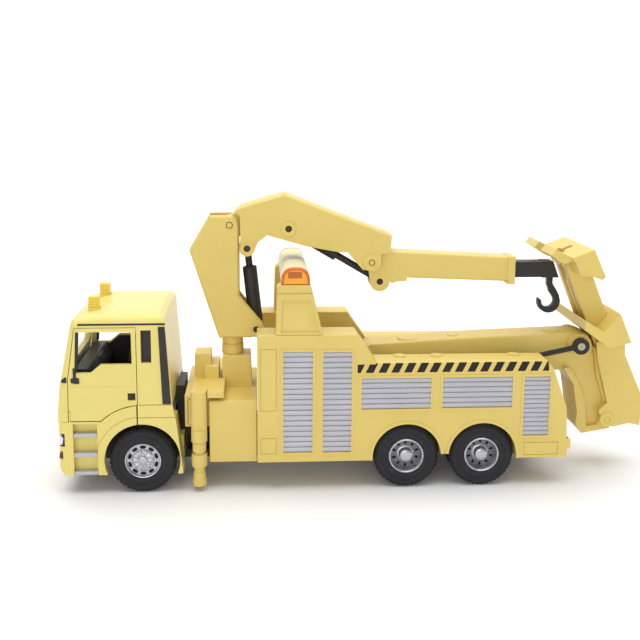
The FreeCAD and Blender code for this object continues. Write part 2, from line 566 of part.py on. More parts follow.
def arm():
    """The telescopic arm: bracket, tapered outer tube, sliding inner section and the hook."""
    outer = new_body("telescopic_arm")
    add(outer, "Y", minus("arm_half"), "arm_half",
        [(7.4, 86.2), (12.3, 86.9), (58, 84.5), (58, 75.0), (18.2, 76.7), (12.3, 74.5), (11.2, 75.2),
         (4.0, 75.4), (2.2, 84.8)])
    add(outer, "X", 57.2, 60.0, rectangle(-5, 73.9, 5, 84.7))
    round_edges(outer, 0.5, lambda box, edge: box.XLength > 30 and box.YLength < 0.01, "Chamfer")
    add(outer, "Y", minus("arm_half"), "arm_half", (*ARM_PIVOT, 3.2))
    add(outer, "Y", minus("arm_half"), "arm_half", (*FOLD_LOW, 3.8))
    cut(outer, "X", 35.8, 60, rectangle("-(slide_half + 0.25)", 77.0, "slide_half + 0.25", 82.55))
    cut(outer, "X", 49, 60, rectangle("-(slide_half + 0.25)", 76.1, "slide_half + 0.25", 77.2))
    cut(outer, "Y", -2.6, 2.6, [(-2, 88), (10.8, 88), (11.6, 80), (11.6, 70), (-2, 70)])
    cut(outer, "Y", -6, 6, (*ARM_PIVOT, "crane_pin_radius + pin_clearance"))
    add(outer, "Y", -3, 3, (*FOLD_LOW, "crane_pin_radius"))
    both_sides(cut, outer, "arm_half - 1", "arm_half", (*FOLD_LOW, 1.15))

    inner = new_body("extension_section")
    add(inner, "Y", minus("slide_half"), "slide_half", rectangle(47, 77.2, 61, 82.3))
    add(inner, "Y", minus("slide_half"), "slide_half", rectangle(60.2, 76.3, 72, 82.3))
    add(inner, "Y", "-(slide_half + 0.1)", "slide_half + 0.1",
        [(71.2, 76.1), (77.9, 76.1), (75.5, 82.45), (71.2, 82.45)])
    cut(inner, "Y", -1.45, 1.45, rectangle(72.2, 75, 78.5, 81.0))
    cut(inner, "Y", -2.6, 2.6, (*HOOK_PIVOT, 0.7))
    hook = new_body("crane_hook")
    add(hook, "Y", -1.1, 1.1, [(-1.1, 0), (-1.1, -5.6), (0.1, -8.4), (1.9, -10.4), (4.1, -11.0),
                               (3.9, -9.9), (3.0, -8.2), (1.1, -5.2), (1.1, 0)])
    add(hook, "Y", -1.1, 1.1, (0, 0, 1.5))
    add(hook, "Y", -1.1, 1.1, (-0.1, -12.4, 4.5))
    cut(hook, "Y", -1.1, 1.1, (-0.6, -12.1, 2.5))
    cut(hook, "Y", -1.1, 1.1, [(-0.6, -12.1), (-3.1, -11.8), (-4.3, -10.9), (-5.5, -6), (-1.2, -6),
                               (-0.1, -8.4), (1.3, -10.4)])
    add(hook, "Y", -2.5, 2.5, (0, 0, 0.6))
    place(hook, HOOK_PIVOT[0], 0, HOOK_PIVOT[1])


# ---------------------------------------------------------------- body

SHUTTERS = ((-29.9, 14.8, -19.1, 53.2, 19), (-15.3, 14.7, -4.8, 53.0, 19), (-1.1, 31.0, 24.7, 42.9, 6),
            (29.1, 31.1, 55.3, 42.9, 6), (59.7, 19.9, 69.5, 42.8, 13))


def recovery_body():
    """The moulded body: two locker banks, the underlift trough between them, and the wheel arches."""
    made = new_body("recovery_body")
    bank = [("body_front_x", "body_bottom"), ("body_front_x", "tall_top"), (-3.1, "tall_top"),
            (4.4, "deck_top"),
            (68.3, "deck_top"), (70.2, 46.6), (71.8, 42.6), (76.3, 30.4), ("body_rear_x", "body_bottom")]
    both_sides(add, made, "inner_half", "body_half", bank)
    round_edges(made, 0.8, lambda box, edge: box.YLength < 0.01 and box.ZMin > 44 and box.XLength > 1
                and abs(abs(box.YMin) - VALUE["body_half"]) < 0.01)
    add(made, "Y", "-(inner_half + 0.5)", "inner_half + 0.5",
        [("body_front_x", "chassis_top"), ("body_front_x", "floor_front_z"), (5, "floor_front_z"),
         (76.0, "floor_rear_z"), (76.6, "chassis_top")])
    for x in ("rear_axle_1_x", "rear_axle_2_x"):
        both_sides(add, made, "body_half - 1", "trim_half", (x, "axle_height", "arch_radius + 1.2"))
    low = "trim_half + 1"
    cut(made, "Y", minus(low), low, ("rear_axle_1_x", "axle_height", "arch_radius"))
    cut(made, "Y", minus(low), low, ("rear_axle_2_x", "axle_height", "arch_radius"))
    cut(made, "Y", minus(low), low, rectangle(-2, -4, 63, "body_bottom"),
        rectangle(24, "body_bottom", 37, 13.3))
    for x in (14.2, 28.2, 57.8):
        for across in (-15.0, 15.0):
            add(made, "Z", "deck_top - 0.1", "deck_top + 0.4", (x, across, 2.3))
    both_sides(add, made, "body_half - 0.5", "trim_half",
               *[rectangle(x1 - 0.9, z1 - 0.9, x2 + 0.9, z2 + 0.9) for x1, z1, x2, z2, slats in SHUTTERS])
    both_sides(cut, made, "body_half - 0.8", "trim_half",
               *[rectangle(x1, z1, x2, z2) for x1, z1, x2, z2, slats in SHUTTERS])
    for x1, z1, x2, z2 in ((-38.3, 30.8, -32.2, 54.4), (-38.3, 14.3, -32.2, 20.6),
                           (60.4, 12.2, 73.6, 17.3)):
        both_sides(cut, made, "body_half - 0.25", "body_half", rectangle(x1, z1, x2, z2),
                   rectangle(x1 + 0.35, z1 + 0.35, x2 - 0.35, z2 - 0.35))
    both_sides(cut, made, "inner_half - 1", "inner_half + 2.2",
               (5.5, 45, "crane_pin_radius + pin_clearance"),
               (40, 40.6, "1.0 + pin_clearance"))

    for name, side in (("left", -1), ("right", 1)):
        doors = new_body(name + "_roller_shutters")
        low, high = ("body_half - 0.8", "body_half + 0.1") if side > 0 else ("-(body_half + 0.1)",
                                                                             "-(body_half - 0.8)")
        add(doors, "Y", low, high, *[rectangle(x1, z1, x2, z2) for x1, z1, x2, z2, slats in SHUTTERS])
        low, high = ("body_half - 0.25", "body_half + 0.1") if side > 0 else ("-(body_half + 0.1)",
                                                                              "-(body_half - 0.25)")
        for x1, z1, x2, z2, slats in SHUTTERS:
            pitch = (z2 - z1) / slats
            cut(doors, "Y", low, high, *[rectangle(x1 + 0.3, z1 + pitch * k - 0.25, x2 - 0.3,
                                                   z1 + pitch * k + 0.25)
                                         for k in range(1, slats)])

    lamps = new_body("tail_lamps")
    both_sides(add, lamps, 16.5, "body_half - 0.6", [(77.06, 14.6), (78.3, 14.6), (78.3, 18),
                                                     (76.92, 18)])


def light_gantry():
    """Two pylons on the tall lockers and the light bar across them with its two amber end lenses."""
    made = new_body("gantry_pylons")
    both_sides(add, made, 17.5, "body_half - 0.1",
               [(-32.6, "tall_top"), (-32.1, 77.0), (-30.8, "bar_base_z"), (-20.0, "bar_base_z"),
                (-19.4, 75.8), (-15.4, "tall_top")])
    round_edges(made, 0.5, lambda box, edge: box.YLength < 0.01 and box.ZLength > 5)
    both_sides(cut, made, "body_half - 0.7", "body_half", [(-30.7, "tall_top + 0.9"), (-30.3, 72.2),
                                                           (-20.3, 72.4), (-16.8, "tall_top + 0.9")])
    both_sides(cut, made, "body_half - 0.4", "body_half", rectangle(-32.2, 74.6, -19, 75.1))
    bar = new_body("light_bar")
    add(bar, "Y", -21.6, 21.6, ("bar_x", "bar_axis_z", "bar_radius"))
    cut(bar, "Y", -21.6, 21.6, rectangle("bar_x - 6", 70, "bar_x + 6", "bar_base_z"))
    cut(bar, "Y", 11.8, 12.2, rectangle("bar_x - 6", 77, "bar_x + 6", 85),
        ("bar_x", "bar_axis_z", "bar_radius - 0.3"))
    lenses = new_body("light_bar_lenses")
    both_sides(add, lenses, 21.6, "body_half", ("bar_x", "bar_axis_z", "bar_radius"))
    both_sides(cut, lenses, 21.6, "body_half", rectangle("bar_x - 6", 70, "bar_x + 6", "bar_base_z"))


# ---------------------------------------------------------------- underlift

def underlift():
    """The rear lifting boom with its upright, and the two rams beside it."""
    made = new_body("underlift_boom")
    add(made, "Y", minus("boom_half"), "boom_half",
        [(2.6, 42.4), (2.6, 50.0), (4.6, 51.0), (49, 53.6), (84.5, 54.8), (88.0, 54.6), (90.0, 44),
         (88, 40), (76, 39.8), (8, 40.8)])
    round_edges(made, 0.6, lambda box, edge: box.YLength < 0.01 and box.ZMin > 50.5 and box.XLength > 10)
    add(made, "Y", minus("upright_half"), "upright_half",
        [(80.3, 40.5), (84.2, 34.6), (86.3, 22.6), (85.8, 19.6), (86.1, 17.4), (88.4, 14.4),
         (99.4, 16.2), (100.6, 18.6),
         (100.5, 28.3), (92.0, 48.9), (89.4, 54.0), (87.6, 54.7), (80.9, 54.5)])
    add(made, "Y", minus("upright_half"), "upright_half", ("stinger_x", "stinger_z", 4.0))
    both_sides(cut, made, "boom_half", "upright_half",
               [(79.0, 41.6), (82.6, 40.9), (86.1, 35.2), (88.9, 28.3), (90.2, 17.0), (94.5, 17.6),
                (96.6, 27.6), (93.2, 38),
                (91.9, 47), (90.5, 58), (79.0, 58)])
    both_sides(add, made, "boom_half - 0.2", "upright_half + 0.2", (85.9, 50.1, 4.6))
    both_sides(add, made, "boom_half", "upright_half + 2.2", (85.9, 50.1, 1.45))
    cut(made, "Y", -9, 9, (5.5, 45, "crane_pin_radius"), ("stinger_x", "stinger_z", "crane_pin_radius"))
    for x, top, radius in ((19.5, 52.15, 4.2), (37.4, 53.15, 2.2), (76.8, 54.85, 3.5)):
        add(made, "Z", 51, top, (x, 0, radius))
    pins = new_body("underlift_pins")
    add(pins, "Y", -14.4, 14.4, (5.5, 45, "crane_pin_radius"))
    add(pins, "Y", -10.2, 10.2, ("stinger_x", "stinger_z", "crane_pin_radius"))

    low, high = (40, 40.6), (85.9, 50.1)
    run = math.hypot(high[0] - low[0], high[1] - low[1])
    lean = math.degrees(math.atan2(high[0] - low[0], high[1] - low[1]))
    barrels = new_body("underlift_ram_barrels")
    for across in (-9.2, 9.2):
        add(barrels, "Z", -1.6, 28, (0, across, 1.6))
        cut(barrels, "Z", 3, 28, (0, across, 1.15))
        low_y, high_y = (across, 14.2) if across > 0 else (-14.2, across)
        add(barrels, "Y", low_y, high_y, (0, 0, 1.0))
    place(barrels, low[0], 0, low[1], lean)
    rods = new_body("underlift_ram_rods")
    for across in (-9.2, 9.2):
        add(rods, "Z", 8 - run, -2.0, (0, across, 0.7))
        add(rods, "Y", across - 0.85, across + 0.85, (0, 0, 3.2))
        cut(rods, "Y", across - 0.85, across + 0.85, (0, 0, 1.55))
    place(rods, high[0], 0, high[1], lean)


def stinger():
    """The folded lifting stinger: cheeks, sleeve and the sliding column with its cross bars."""
    made = new_body("stinger_arm")
    sleeve = [(4.6, 24), (6.6, 31.0), (17.0, 31.0), (17.6, 28), (15.4, 22), (16.2, 3), (11.5, -7.5),
              (7.8, -5.0),
              (1.2, -3.8), (-2.0, 0), (-1.7, 4.6), (2.5, 6.4)]
    add(made, "Y", minus("cheek_half"), "cheek_half", sleeve)
    add(made, "Y", minus("fork_half"), "fork_half",
        [(3.8, 43.4), (8.7, 36.4), (13.2, 38.6), (16.9, 40.9), (17.1, 28.6), (8.5, 29.8), (2.1, 40.3)])
    both_sides(add, made, "cheek_half - 0.2", "cheek_half + 0.6", (0, 0, 2.95))
    cut(made, "Y", "-(upright_half + 0.3)", "upright_half + 0.3", (0, 0, 5.0))
    cut(made, "Y", "-(upright_half + 0.3)", "upright_half + 0.3",
        [(-14, 40), (2.0, 39.4), (6.0, 33.4), (6.0, 6.0), (6.4, 3.2), (18, -2), (18, -14), (-14, -14)])
    cut(made, "Z", 14, 50, rectangle(6.0, "-(column_half + 0.25)", 14.7, "column_half + 0.25"))
    cut(made, "Y", minus("crane_pin_radius + 20"), "crane_pin_radius + 20",
        (0, 0, "crane_pin_radius + pin_clearance"))
    place(made, "stinger_x", 0, "stinger_z", VALUE["stinger_lean"])

    column = new_body("stinger_column")
    add(column, "Y", minus("column_half"), "column_half", rectangle(6.25, 18, 14.45, 68))
    cut(column, "X", 6.25, 7.25, rectangle(-4.4, 20, -0.8, 62), rectangle(0.8, 20, 4.4, 62))
    add(column, "Y", minus("fork_half"), "fork_half",
        [(2.3, 73.5), (7.0, 68.0), (15.7, 67.9), (16.2, 56.4), (14.6, 55.9), (11.8, 58.3), (7.6, 60.5),
         (7.3, 66.4), (3.4, 66.7), (-0.2, 72.1)])
    cut(column, "Y", -3.9, 3.9, [(-2, 76), (9.2, 76), (9.2, 69), (8.4, 66.5), (6.0, 62), (4, 60),
                                 (-2, 60)])
    cut(column, "Y", -1.5, 1.5, [(5, 55.6), (6.2, 55.6), (12.6, 67.4), (13.0, 69), (13.0, 76), (5, 76)])
    cut(column, "X", -2, 6.9, [(-17.7, 64), (-17.7, 74.2), (-15.2, 64)],
        [(17.7, 64), (17.7, 74.2), (15.2, 64)])
    place(column, "stinger_x", 0, "stinger_z", VALUE["stinger_lean"])


# ---------------------------------------------------------------- make, check and write

wheels()
chassis()
cab_shell()
cab_door("left_cab_door", -1)
cab_door("right_cab_door", 1)
cab_fittings()
bumper_and_arch()
outriggers()
crane_base()
mast()
knuckle_boom()
ram("lift_ram_barrel", "lift_ram_rod", LIFT_LOW, LIFT_HIGH, 23.6, 16, "lift_ram_radius")
ram("fold_ram_barrel", "fold_ram_rod", FOLD_HIGH, FOLD_LOW, 21.5, 14, "fold_ram_radius")
arm()
recovery_body()
light_gantry()
underlift()
stinger()

DOC.recompute()
for item in DOC.Objects:
    if "Invalid" in item.State or "Error" in item.State:
        raise ValueError("%s is %s" % (item.Label, item.State))
os.makedirs("parts", exist_ok=True)
for node in NODES:
    if node.Shape.isNull() or not node.Shape.isValid():
        raise ValueError(node.Label + " has no valid shape")
    node.Shape.exportStep("parts/%s.step" % node.Label)
print(len(NODES), "nodes")
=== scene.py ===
import bpy
import bmesh
import json
import math
from mathutils import Matrix, Vector


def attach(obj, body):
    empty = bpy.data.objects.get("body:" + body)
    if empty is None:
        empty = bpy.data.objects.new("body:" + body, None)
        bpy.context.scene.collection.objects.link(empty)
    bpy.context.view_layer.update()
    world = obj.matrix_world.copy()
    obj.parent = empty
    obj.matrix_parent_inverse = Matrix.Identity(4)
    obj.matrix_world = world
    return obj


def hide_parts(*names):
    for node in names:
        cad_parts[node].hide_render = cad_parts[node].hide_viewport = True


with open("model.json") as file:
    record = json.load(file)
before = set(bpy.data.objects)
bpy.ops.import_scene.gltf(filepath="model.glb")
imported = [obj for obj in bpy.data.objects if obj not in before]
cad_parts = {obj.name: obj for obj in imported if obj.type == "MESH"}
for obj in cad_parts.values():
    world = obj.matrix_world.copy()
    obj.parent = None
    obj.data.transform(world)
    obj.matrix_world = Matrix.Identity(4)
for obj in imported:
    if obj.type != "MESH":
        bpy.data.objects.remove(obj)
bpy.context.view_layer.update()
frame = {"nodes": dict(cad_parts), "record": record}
NODES = frame["nodes"]
SLOTS = {part["node"]: part["material_slot"] for part in frame["record"]["subparts"]}
BODY_OF = {node: body for body, held in frame["record"]["behaviour"]["bodies"].items() for node in held}
MM = 0.001
SIDES = (("left", -1), ("right", 1))


# ---------------------------------------------------------------- materials

GRAIN_DEPTH = 0.0002
LENS_DEPTH = 0.0003
LENS_IOR = 1.49
DRIFT_DETAIL, SCUFF_DETAIL, GRAIN_DETAIL = 4.0, 6.0, 3.0
SCUFF_SCALE = 210.0
SCUFF_SHARE = {"From Min": 0.60, "From Max": 0.74, "To Max": 0.22}
# share of painted shade in concave corners, from the surface's pointiness
CREASE_SHADE_SHARE = {"From Min": 0.40, "From Max": 0.49, "To Min": 0.6, "To Max": 0.0}
# share of the lighter convex edges, from pointiness: wear and painted highlight
EDGE_WEAR_AND_HIGHLIGHT_SHARE = {"From Min": 0.53, "From Max": 0.62, "To Max": 0.55}
# the colour sockets of a mix node
MIX_UNDER, MIX_OVER, MIX_RESULT = 6, 7, 2


class Surface:
    """A material in the making: its nodes, and the shader that they feed."""

    def __init__(self, name, values):
        self.material = bpy.data.materials.new(name)
        self.material.use_nodes = True
        self.tree = self.material.node_tree
        self.tree.nodes.clear()
        self.shader = self.node("ShaderNodeBsdfPrincipled", values)
        self.link(self.shader.outputs["BSDF"], self.node("ShaderNodeOutputMaterial").inputs["Surface"])
        self.place = self.node("ShaderNodeTexCoord").outputs["Object"]

    def node(self, kind, values=(), **properties):
        made = self.tree.nodes.new(kind)
        for name, value in properties.items():
            setattr(made, name, value)
        for name, value in dict(values).items():
            made.inputs[name].default_value = value
        return made

    def link(self, output, target):
        self.tree.links.new(output, target)

    def feed(self, output, name):
        self.link(output, self.shader.inputs[name])

    def noise(self, scale, detail=2.0):
        made = self.node("ShaderNodeTexNoise", {"Scale": scale, "Detail": detail})
        self.link(self.place, made.inputs["Vector"])
        return made.outputs["Fac"]

    def waves(self, scale):
        made = self.node("ShaderNodeTexWave", {"Scale": scale}, bands_direction="Z")
        self.link(self.place, made.inputs["Vector"])
        return made.outputs["Fac"]

    def ramp(self, value, dark, light, low=0.0, high=1.0):
        """A colour that goes from dark to light as the value goes from low to high."""
        made = self.node("ShaderNodeValToRGB")
        for end, position, colour in zip(made.color_ramp.elements, (low, high), (dark, light)):
            end.position = position
            end.color = (*colour, 1)
        self.link(value, made.inputs["Fac"])
        return made.outputs["Color"]

    def mapped(self, value, values):
        made = self.node("ShaderNodeMapRange", values)
        self.link(value, made.inputs["Value"])
        return made.outputs["Result"]

    def over(self, colour, paint, share):
        """The colour, with a share of paint over it."""
        made = self.node("ShaderNodeMix", data_type="RGBA")
        self.link(share, made.inputs["Factor"])
        self.link(colour, made.inputs[MIX_UNDER])
        made.inputs[MIX_OVER].default_value = (*paint, 1)
        return made.outputs[MIX_RESULT]

    def relief(self, height, strength, depth, under=None):
        made = self.node("ShaderNodeBump", {"Strength": strength, "Distance": depth})
        self.link(height, made.inputs["Height"])
        if under is not None:
            self.link(under, made.inputs["Normal"])
        return made.outputs["Normal"]


def moulded(name, light, dark, rough=0.4, grain=900.0, bump=0.05, metallic=0.0, coat=0.0, coat_rough=0.1,
            edge_wear_and_highlight=None, crease_shade=None, scuffs=None, mottling=60.0, specular=0.5):
    """Moulded plastic, rubber or plating: colour drift, grain, faint scuffs, painted shade in concave
    corners, and lighter convex edges that are wear and painted highlight.
    """
    surface = Surface(name, {"Metallic": metallic, "Coat Weight": coat, "Coat Roughness": coat_rough,
                             "Specular IOR Level": specular})
    colour = surface.ramp(surface.noise(mottling, DRIFT_DETAIL), dark, light, 0.3, 0.7)
    if scuffs:
        rubbed = surface.mapped(surface.noise(SCUFF_SCALE, SCUFF_DETAIL), SCUFF_SHARE)
        colour = surface.over(colour, scuffs, rubbed)
    if crease_shade or edge_wear_and_highlight:
        convex = surface.node("ShaderNodeNewGeometry").outputs["Pointiness"]
    # painted shade: darker where the surface is concave
    if crease_shade:
        colour = surface.over(colour, crease_shade, surface.mapped(convex, CREASE_SHADE_SHARE))
    # lighter where the surface is convex: wear and painted highlight
    if edge_wear_and_highlight:
        colour = surface.over(colour, edge_wear_and_highlight, surface.mapped(convex, EDGE_WEAR_AND_HIGHLIGHT_SHARE))
    surface.feed(colour, "Base Color")
    speck = surface.noise(grain, GRAIN_DETAIL)
    gloss = {"To Min": max(rough - 0.07, 0.02), "To Max": rough + 0.09}
    surface.feed(surface.mapped(speck, gloss), "Roughness")
    surface.feed(surface.relief(speck, bump, GRAIN_DEPTH), "Normal")
    return surface.material


def clear(name, tint, rough=0.06, alpha=0.35, ribs=0.0):
    """Clear or tinted lens plastic with faint flow marks and, where ribs is given, moulded ribs."""
    surface = Surface(name, {"Alpha": alpha, "IOR": LENS_IOR})
    flow = surface.noise(180.0)
    surface.feed(surface.ramp(flow, [share * 0.86 for share in tint], tint), "Base Color")
    surface.feed(surface.mapped(flow, {"To Min": rough, "To Max": rough + 0.08}), "Roughness")
    normal = surface.relief(flow, 0.08, LENS_DEPTH)
    if ribs:
        normal = surface.relief(surface.waves(ribs), 0.5, LENS_DEPTH, normal)
    surface.feed(normal, "Normal")
    return surface.material


LOOKS = {
    "yellow_body": moulded("body_yellow", (0.745, 0.572, 0.156), (0.710, 0.542, 0.144), rough=0.42,
                           bump=0.06, scuffs=(0.62, 0.47, 0.12), specular=0.4),
    "cab_enamel": moulded("cab_lemon", (0.790, 0.664, 0.192), (0.765, 0.642, 0.180), rough=0.34, bump=0.02,
                          coat=0.15, coat_rough=0.2, scuffs=(0.68, 0.56, 0.15), specular=0.4),
    # tyre: lighter convex edges, wear and painted highlight
    "tyre": moulded("tyre_rubber", (0.022, 0.021, 0.024), (0.015, 0.0145, 0.017), rough=0.62, grain=1400,
                    bump=0.25, edge_wear_and_highlight=(0.045, 0.045, 0.047), specular=0.3),
    # rim: brighter convex edges are painted highlight and wear; darker concave corners are painted shade
    "silver_rim": moulded("rim_silver", (0.50, 0.50, 0.53), (0.43, 0.43, 0.46), rough=0.27, metallic=0.80,
                          bump=0.05, edge_wear_and_highlight=(0.75, 0.75, 0.78), crease_shade=(0.04, 0.04, 0.045)),
    "steel_pin": moulded("pin_steel", (0.060, 0.045, 0.035), (0.045, 0.034, 0.027), rough=0.35,
                         metallic=0.3, bump=0.06),
    "black_plastic": moulded("plastic_black", (0.034, 0.029, 0.026), (0.026, 0.022, 0.020), rough=0.42,
                             bump=0.10, scuffs=(0.050, 0.044, 0.040), specular=0.3),
    "shutter_silver": moulded("shutter_silver", (0.50, 0.50, 0.535), (0.45, 0.45, 0.48), rough=0.38,
                              metallic=0.25, bump=0.05, scuffs=(0.36, 0.36, 0.38)),
    "clear_glazing": clear("glazing_clear", (0.80, 0.84, 0.84), alpha=0.16),
    "clear_lamp": clear("lamp_clear", (0.72, 0.74, 0.76), alpha=0.45, ribs=260.0),
    "amber_lens": clear("lens_amber", (0.88, 0.17, 0.02), alpha=0.80, rough=0.08),
    "beacon_yellow": clear("beacon_yellow", (0.93, 0.68, 0.06), alpha=0.94, rough=0.14, ribs=300.0),
    "red_lens": clear("lens_red", (0.62, 0.04, 0.03), alpha=0.95, rough=0.12, ribs=260.0),
}
CREAM = moulded("bar_cream", (0.80, 0.74, 0.40), (0.77, 0.71, 0.37), rough=0.36, bump=0.04,
                scuffs=(0.66, 0.60, 0.30), specular=0.4)
GREY = moulded("pin_grey", (0.50, 0.49, 0.46), (0.38, 0.37, 0.35), rough=0.35, metallic=0.5, bump=0.05)
DISH = moulded("rim_dish", (0.17, 0.17, 0.18), (0.13, 0.13, 0.14), rough=0.34, metallic=0.7, bump=0.06)
# painted shade for the bottom of pin holes
HOLE_SHADE = moulded("pin_hole_painted_shade", (0.050, 0.022, 0.010), (0.035, 0.015, 0.007), rough=0.45, bump=0.05,
                 specular=0.3)
# painted glow: a bright opaque amber core stands for light shining through the bar's lenses
AMBER_PAINTED_GLOW = clear("amber_painted_glow", (0.95, 0.40, 0.02), alpha=1.0, rough=0.3)
AMBER_DARK = clear("amber_block", (0.50, 0.13, 0.01), alpha=1.0, rough=0.25)
DECAL = moulded("decal_black", (0.020, 0.013, 0.010), (0.014, 0.009, 0.007), rough=0.5, bump=0.03,
                specular=0.3)
FOG = clear("fog_brown", (0.16, 0.045, 0.02), alpha=0.95, rough=0.15)
# reflector: darker concave corners are painted shade
REFLECTOR = moulded("lamp_reflector", (0.72, 0.73, 0.76), (0.60, 0.61, 0.65), rough=0.16, metallic=0.9,
                    bump=0.03, crease_shade=(0.08, 0.08, 0.09))
for name, node in NODES.items():
    node.data.materials.clear()
    node.data.materials.append(LOOKS[SLOTS[name]])


# ---------------------------------------------------------------- shapes

# degrees: less is one flat face, more is an edge that gets rounded
FLAT_TURN = 0.6
BEVEL_TURN = 32.0


def is_round(face, smooth):
    """A face is part of a rounded surface when most of its outline meets its neighbours at a small angle."""
    soft = sum(edge.calc_length() for edge in face.edges if len(edge.link_faces) == 2
               and math.radians(FLAT_TURN) < edge.calc_face_angle(0.0) < math.radians(smooth))
    return soft > 0.5 * face.calc_perimeter()


def show(name, made, body, slot, material=None, stands_for=(), smooth=40.0, keep_flat=False):
    """Turn a bmesh into a shown piece that rides on a body, smooth where its faces meet at a small angle."""
    bmesh.ops.remove_doubles(made, verts=made.verts, dist=1e-7)
    bmesh.ops.recalc_face_normals(made, faces=made.faces)
    mesh = bpy.data.meshes.new(name)
    for face in made.faces:
        face.smooth = not keep_flat or is_round(face, smooth)
    for edge in made.edges:
        if len(edge.link_faces) != 2 or edge.calc_face_angle(0.0) > math.radians(smooth):
            edge.smooth = False
    made.to_mesh(mesh)
    made.free()
    mesh.materials.append(material or LOOKS[slot])
    item = bpy.data.objects.new(name, mesh)
    bpy.context.scene.collection.objects.link(item)
    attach(item, body)
    if stands_for:
        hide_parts(*stands_for)
    return item


def bevelled(item, width, segments=2):
    """Soft moulded edges, in millimetres."""
    soft = item.modifiers.new("soft_edges", "BEVEL")
    soft.width = width * MM
    soft.segments = segments
    soft.limit_method = "ANGLE"
    soft.angle_limit = math.radians(BEVEL_TURN)
    soft.use_clamp_overlap = True
    return item


def soften(node, width):
    """A copy of a CAD node with its flat faces joined up and its edges rounded, in place of the node."""
    made = bmesh.new()
    made.from_mesh(NODES[node].data)
    bmesh.ops.remove_doubles(made, verts=made.verts, dist=2e-6)
    bmesh.ops.dissolve_limit(made, angle_limit=math.radians(FLAT_TURN), verts=made.verts, edges=made.edges)
    item = show(node + "_moulded", made, BODY_OF[node], SLOTS[node], None, (node,), BEVEL_TURN, True)
    bevelled(item, width)


def band(made, low, high):
    """Faces between two rows of points that each close on themselves."""
    for i in range(len(low)):
        j = (i + 1) % len(low)
        made.faces.new((low[i], low[j], high[j], high[i]))


def prism(made, outline, low, high):
    """A solid across the truck over an (x, z) outline, between two y values, in millimetres."""
    rows = [[made.verts.new((x * MM, y * MM, z * MM)) for x, z in outline] for y in (low, high)]
    band(made, *rows)
    made.faces.new(rows[0])
    made.faces.new(rows[1])


def rectangle(x1, z1, x2, z2):
    return [(x1, z1), (x2, z1), (x2, z2), (x1, z2)]


def plates(name, body, side, layers, bevel, slot="black_plastic", material=None):
    """A piece made of flat plates on one side of the truck: an outline, an inner and an outer y for each."""
    made = bmesh.new()
    for outline, inner, outer in layers:
        prism(made, outline, side * inner, side * outer)
    item = show(name, made, body, slot, material)
    if bevel:
        bevelled(item, bevel)


def turned(made, profile, x, z, side, count, shape=None, closed=False):
    """A surface turned about a line across the truck from (radius, y) points, in millimetres."""
    rings = []
    for radius, y in profile:
        if radius < 1e-6:
            rings.append([made.verts.new((x * MM, side * y * MM, z * MM))])
            continue
        ring = []
        for step in range(count):
            reach, across = shape(step, radius, y) if shape else (radius, y)
            angle = 2 * math.pi * step / count
            ring.append(made.verts.new(((x + reach * math.cos(angle)) * MM, side * across * MM,
                                        (z + reach * math.sin(angle)) * MM)))
        rings.append(ring)
    pairs = list(zip(rings, rings[1:])) + ([(rings[-1], rings[0])] if closed else [])
    for low, high in pairs:
        for i in range(count):
            j = (i + 1) % count
            corners = [low[i % len(low)], low[j % len(low)], high[j % len(high)], high[i % len(high)]]
            corners = [corner for k, corner in enumerate(corners) if corner not in corners[:k]]
            if len(corners) > 2:
                made.faces.new(corners)


# ---------------------------------------------------------------- moulded parts

SOFT = {
    0.30: ("front_bumper", "front_mudguards", "crane_hook"),
    0.12: ("left_cab_door", "right_cab_door"),
    0.28: ("mid_deck_box", "crane_pedestal", "slew_turret", "outrigger_housing", "left_outrigger_beam",
           "right_outrigger_beam", "recovery_body", "underlift_boom", "stinger_arm", "stinger_column",
           "crane_mast", "knuckle_boom", "telescopic_arm"),
    0.20: ("cab_shell", "left_outrigger_leg", "right_outrigger_leg", "gantry_pylons", "extension_section",
           "lift_ram_barrel", "lift_ram_rod", "fold_ram_barrel", "fold_ram_rod", "underlift_ram_barrels",
           "underlift_ram_rods", "step_treads", "tail_lamps", "chassis_frame", "cab_interior",
           "front_grille", "air_intake_ducts"),
}
for width, names in SOFT.items():
    for name in names:
        soften(name, width)


# ---------------------------------------------------------------- wheels

TYRE_RADIUS = 12.2
RIM_RADIUS = 6.7
AXLE_HEIGHT = TYRE_RADIUS
OUTER = 23.5
FRONT_WIDTH, REAR_WIDTH, TWIN_GAP = 7.0, 6.0, 1.0
WHEELS = (("front", -81.4), ("rear_1", 16.2), ("rear_2", 44.8))
# (radius, depth in from the tyre's side), then (across, depth) of a groove in the tread
TYRE_WALL = ((RIM_RADIUS, 0.55), (7.2, 0.15), (7.9, 0.0), (8.9, 0.05), (9.1, 0.22), (9.5, 0.22),
             (9.7, 0.05), (10.6, 0.12), (11.2, 0.42), (11.65, 0.80), (12.0, 1.15), (TYRE_RADIUS, 1.55))
GROOVE = ((-0.18, 0), (-0.14, 0.45), (0.14, 0.45), (0.18, 0))
GROOVE_PITCH = 1.1
TYRE_STEPS = 132
LUG_START, LUG_EVERY, LUG_DEPTH = 11.1, 3, 0.32
RIM_STEPS = 120
BORE_RADIUS = 1.05
WINDOWS = 10
# half a window's height as a share of its ring, its full-width share, and the steps cut from its corners
WINDOW_REACH, WINDOW_CORE, WINDOW_CORNER = 0.36, 0.6, 0.9
DISC_STEPS = 60


def tyre_profile(inner, outer):
    """A tyre's section: bead, bulged wall with a raised ring, shoulder, three grooves and the other wall."""
    middle = (inner + outer) / 2
    points = [(radius, inner + depth) for radius, depth in TYRE_WALL]
    for step in (-GROOVE_PITCH, 0.0, GROOVE_PITCH):
        points += [(TYRE_RADIUS - depth, middle + step + across) for across, depth in GROOVE]
    return points + [(radius, outer - depth) for radius, depth in reversed(TYRE_WALL)]


